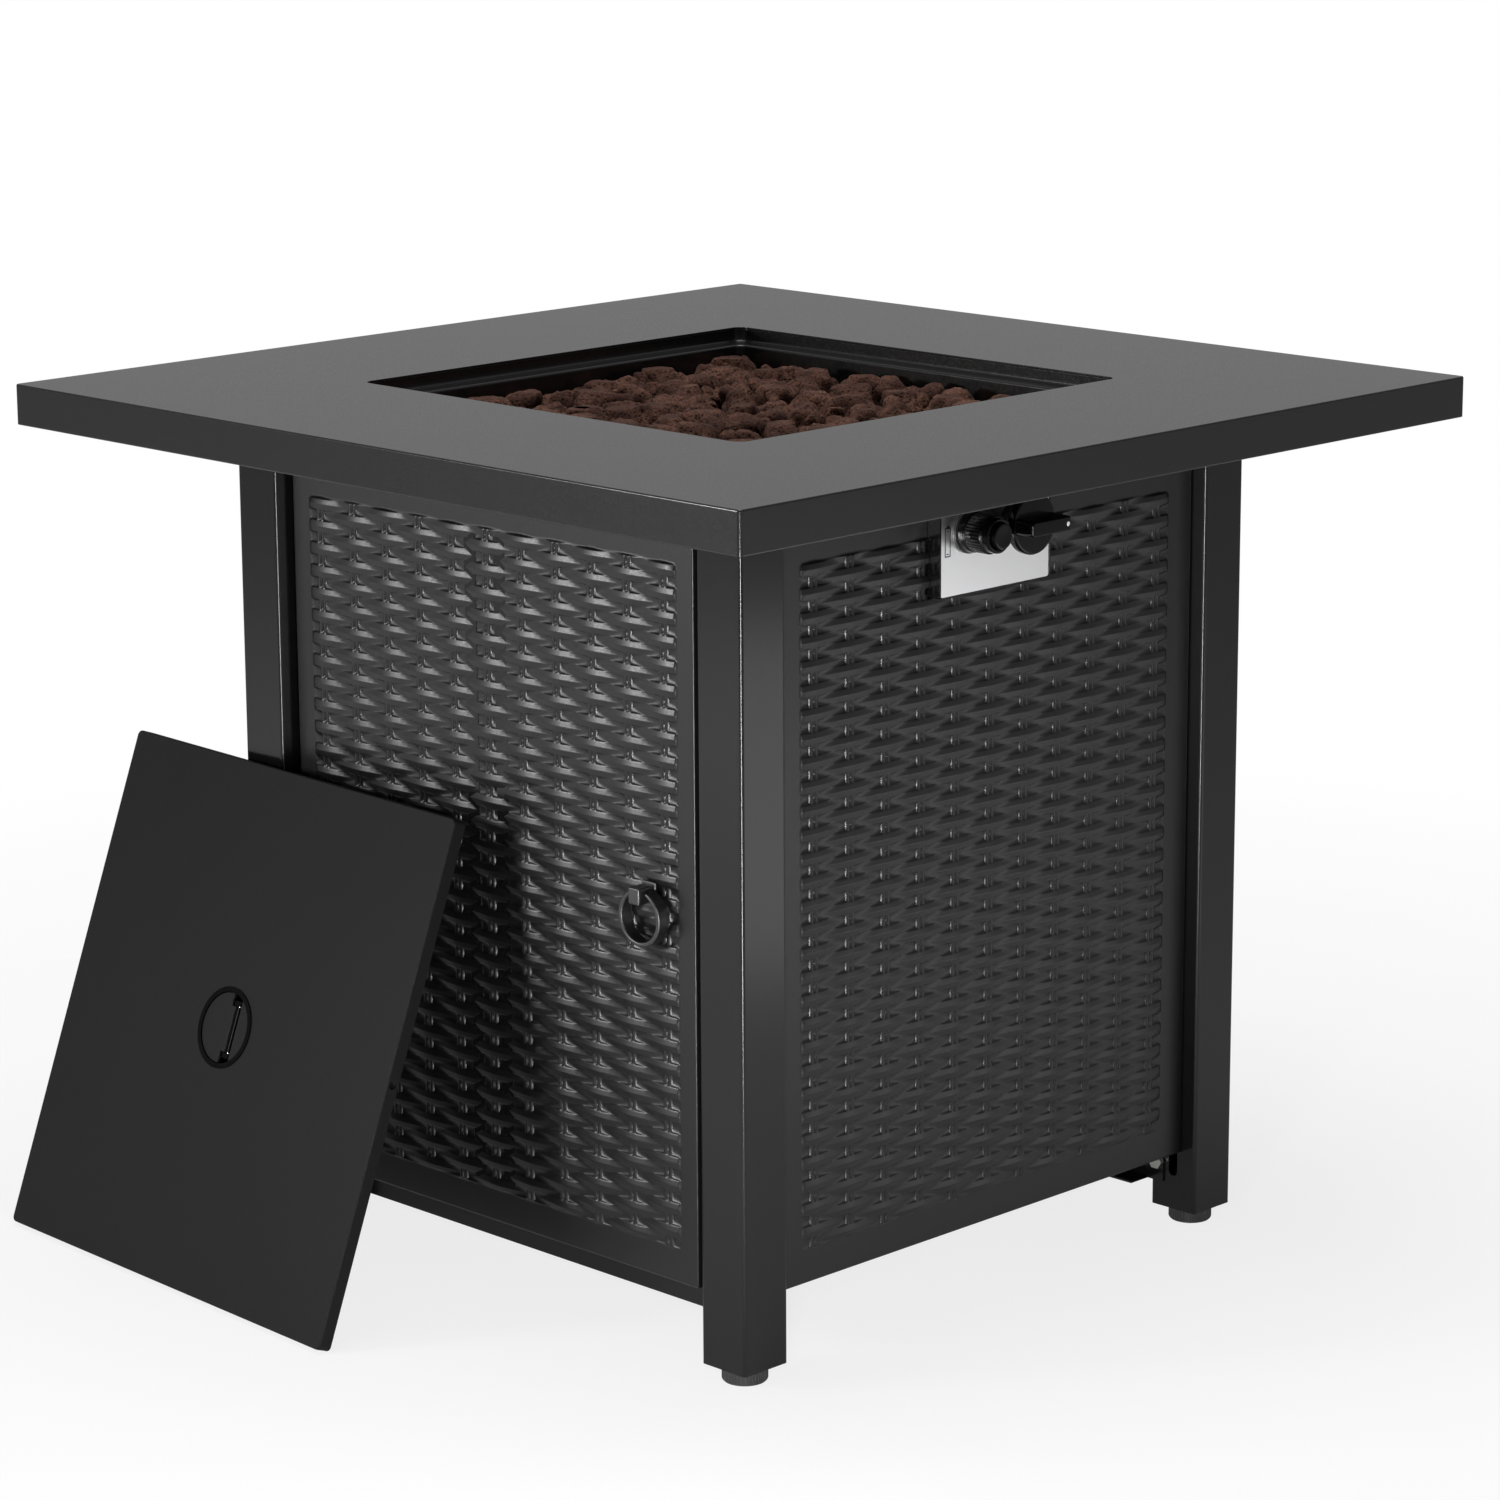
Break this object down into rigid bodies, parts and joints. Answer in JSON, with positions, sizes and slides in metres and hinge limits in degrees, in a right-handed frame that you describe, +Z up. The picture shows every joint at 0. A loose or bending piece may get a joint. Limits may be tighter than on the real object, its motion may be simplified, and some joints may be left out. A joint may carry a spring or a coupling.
{
  "type": "fire pit table",
  "caption": "Square steel gas fire pit table with a bottle cabinet, hinged front door, lava rock bowl, gas knob, push igniter and a lift-off lid leaning on its front.",
  "frame": {"origin": "centre of the floor space that the table and its leaning lid take up, at floor level", "axes": "+Z is up, the door faces -Y and the gas controls face +X"},
  "size_m": [0.7275, 0.7509, 0.612],
  "materials": {
    "powder_coat": "fine-grained satin black powder coat",
    "top_coat": "fine-grained satin black powder coat",
    "lid_coat": "fine-grained satin black powder coat",
    "bowl_coat": "smooth heat-proof black enamel",
    "handle_coat": "satin black",
    "zinc": "zinc-plated",
    "plain_steel": "plain stainless sheet",
    "burner_steel": "stainless tube",
    "brushed_plate": "bright brushed stainless steel",
    "brass": "turned brass",
    "valve_metal": "die-cast aluminium",
    "ceramic": "white glazed ceramic sleeve with a steel tip",
    "lava_rock": "porous red-brown lava rock, light for its size",
    "black_plastic": "moulded black plastic",
    "knob_plastic": "black plastic",
    "handle_plastic": "black plastic",
    "foot_plastic": "black plastic",
    "battery_case": "battery with a plain sleeve",
    "wire_jacket": "black silicone jacket"
  },
  "bodies": {
    "table": {"table_top": "top_coat", "top_nuts": "zinc", "leg_front_left": "powder_coat", "leg_rear_left": "powder_coat", "leg_front_right": "powder_coat", "leg_rear_right": "powder_coat", "leg_inserts": "black_plastic", "top_rail_front": "powder_coat", "top_rail_rear": "powder_coat", "top_rail_left": "powder_coat", "top_rail_right": "powder_coat", "low_rail_front": "powder_coat", "low_rail_rear": "powder_coat", "rail_bolts": "zinc", "tank_tray": "powder_coat", "back_panel": "powder_coat", "left_panel": "powder_coat", "right_panel": "powder_coat", "hinge_bracket_upper": "powder_coat", "hinge_bracket_lower": "powder_coat", "hinge_pins": "zinc", "door_stop": "powder_coat", "magnetic_catch": "black_plastic", "fire_bowl": "bowl_coat", "burner_ring": "burner_steel", "burner_nut": "brass", "air_mixer": "brass", "heat_shield": "plain_steel", "probe_bracket": "plain_steel", "spark_electrode": "ceramic", "flame_sensor": "plain_steel", "lava_rocks": "lava_rock", "control_box": "powder_coat", "control_plate": "brushed_plate", "box_screws": "zinc", "gas_valve": "valve_metal", "gas_inlet": "brass", "igniter_body": "black_plastic", "igniter_nut": "black_plastic", "igniter_battery": "battery_case", "igniter_spring": "zinc", "gas_pipe": "valve_metal", "ignition_wire": "wire_jacket"},
    "door": {"door_panel": "powder_coat", "door_stiffener": "powder_coat", "ring_pull_bracket": "handle_coat"},
    "door_ring": {"pull_ring": "handle_coat"},
    "lid": {"lid_panel": "lid_coat", "lid_handle_cup": "handle_plastic", "lid_handle_pin": "zinc"},
    "lid_flap": {"lid_handle_flap": "handle_plastic"},
    "valve_plug": {"valve_plug": "brass"},
    "knob": {"control_knob": "knob_plastic", "valve_stem": "brass"},
    "igniter_cap": {"igniter_cap": "knob_plastic"},
    "igniter_button": {"igniter_button": "knob_plastic"},
    "foot_front_left": {"foot_front_left": "foot_plastic"},
    "foot_front_right": {"foot_front_right": "foot_plastic"},
    "foot_rear_left": {"foot_rear_left": "foot_plastic"},
    "foot_rear_right": {"foot_rear_right": "foot_plastic"}
  },
  "joints": [
    {"name": "door_hinge", "type": "hinge", "parent": "table", "child": "door", "pos_m": [-0.1898, -0.2091, 0.315], "axis": [0, 0, -1], "range_deg": [0, 90]},
    {"name": "ring_pull_swing", "type": "hinge", "parent": "door", "child": "door_ring", "pos_m": [0.1602, -0.2231, 0.32], "axis": [-1, 0, 0], "range_deg": [0, 80]},
    {"name": "lid_carry", "type": "slide", "parent": "table", "child": "lid", "axis": [0, -1, 0], "range_m": [0, 0.505]},
    {"name": "lid_flap_swing", "type": "hinge", "parent": "lid", "child": "lid_flap", "pos_m": [-0.17013, -0.30078, 0.17424], "axis": [0.0179, 0.3424, 0.9394], "range_deg": [0, 80]},
    {"name": "knob_turn", "type": "hinge", "parent": "table", "child": "valve_plug", "pos_m": [0.2302, 0.0256, 0.544], "axis": [1, 0, 0], "range_deg": [0, 180]},
    {"name": "knob_push", "type": "slide", "parent": "valve_plug", "child": "knob", "axis": [-1, 0, 0], "range_m": [0, 0.003], "stiffness_N_per_m": 1500, "springref_m": -0.002},
    {"name": "igniter_cap_off", "type": "slide", "parent": "table", "child": "igniter_cap", "axis": [1, 0, 0], "range_m": [0, 0.03]},
    {"name": "igniter_push", "type": "slide", "parent": "igniter_cap", "child": "igniter_button", "axis": [-1, 0, 0], "range_m": [0, 0.004], "stiffness_N_per_m": 800, "springref_m": -0.002},
    {"name": "foot_front_left_turn", "type": "hinge", "parent": "table", "child": "foot_front_left", "pos_m": [-0.2193, -0.2076, 0.02], "axis": [0, 0, 1], "continuous": true},
    {"name": "foot_front_right_turn", "type": "hinge", "parent": "table", "child": "foot_front_right", "pos_m": [0.2357, -0.2076, 0.02], "axis": [0, 0, 1], "continuous": true},
    {"name": "foot_rear_left_turn", "type": "hinge", "parent": "table", "child": "foot_rear_left", "pos_m": [-0.2193, 0.2474, 0.02], "axis": [0, 0, 1], "continuous": true},
    {"name": "foot_rear_right_turn", "type": "hinge", "parent": "table", "child": "foot_rear_right", "pos_m": [0.2357, 0.2474, 0.02], "axis": [0, 0, 1], "continuous": true}
  ],
  "couplings": [
    {"joint": "lid_carry", "follows": "door_hinge", "m_per_rad": 0.32}
  ]
}
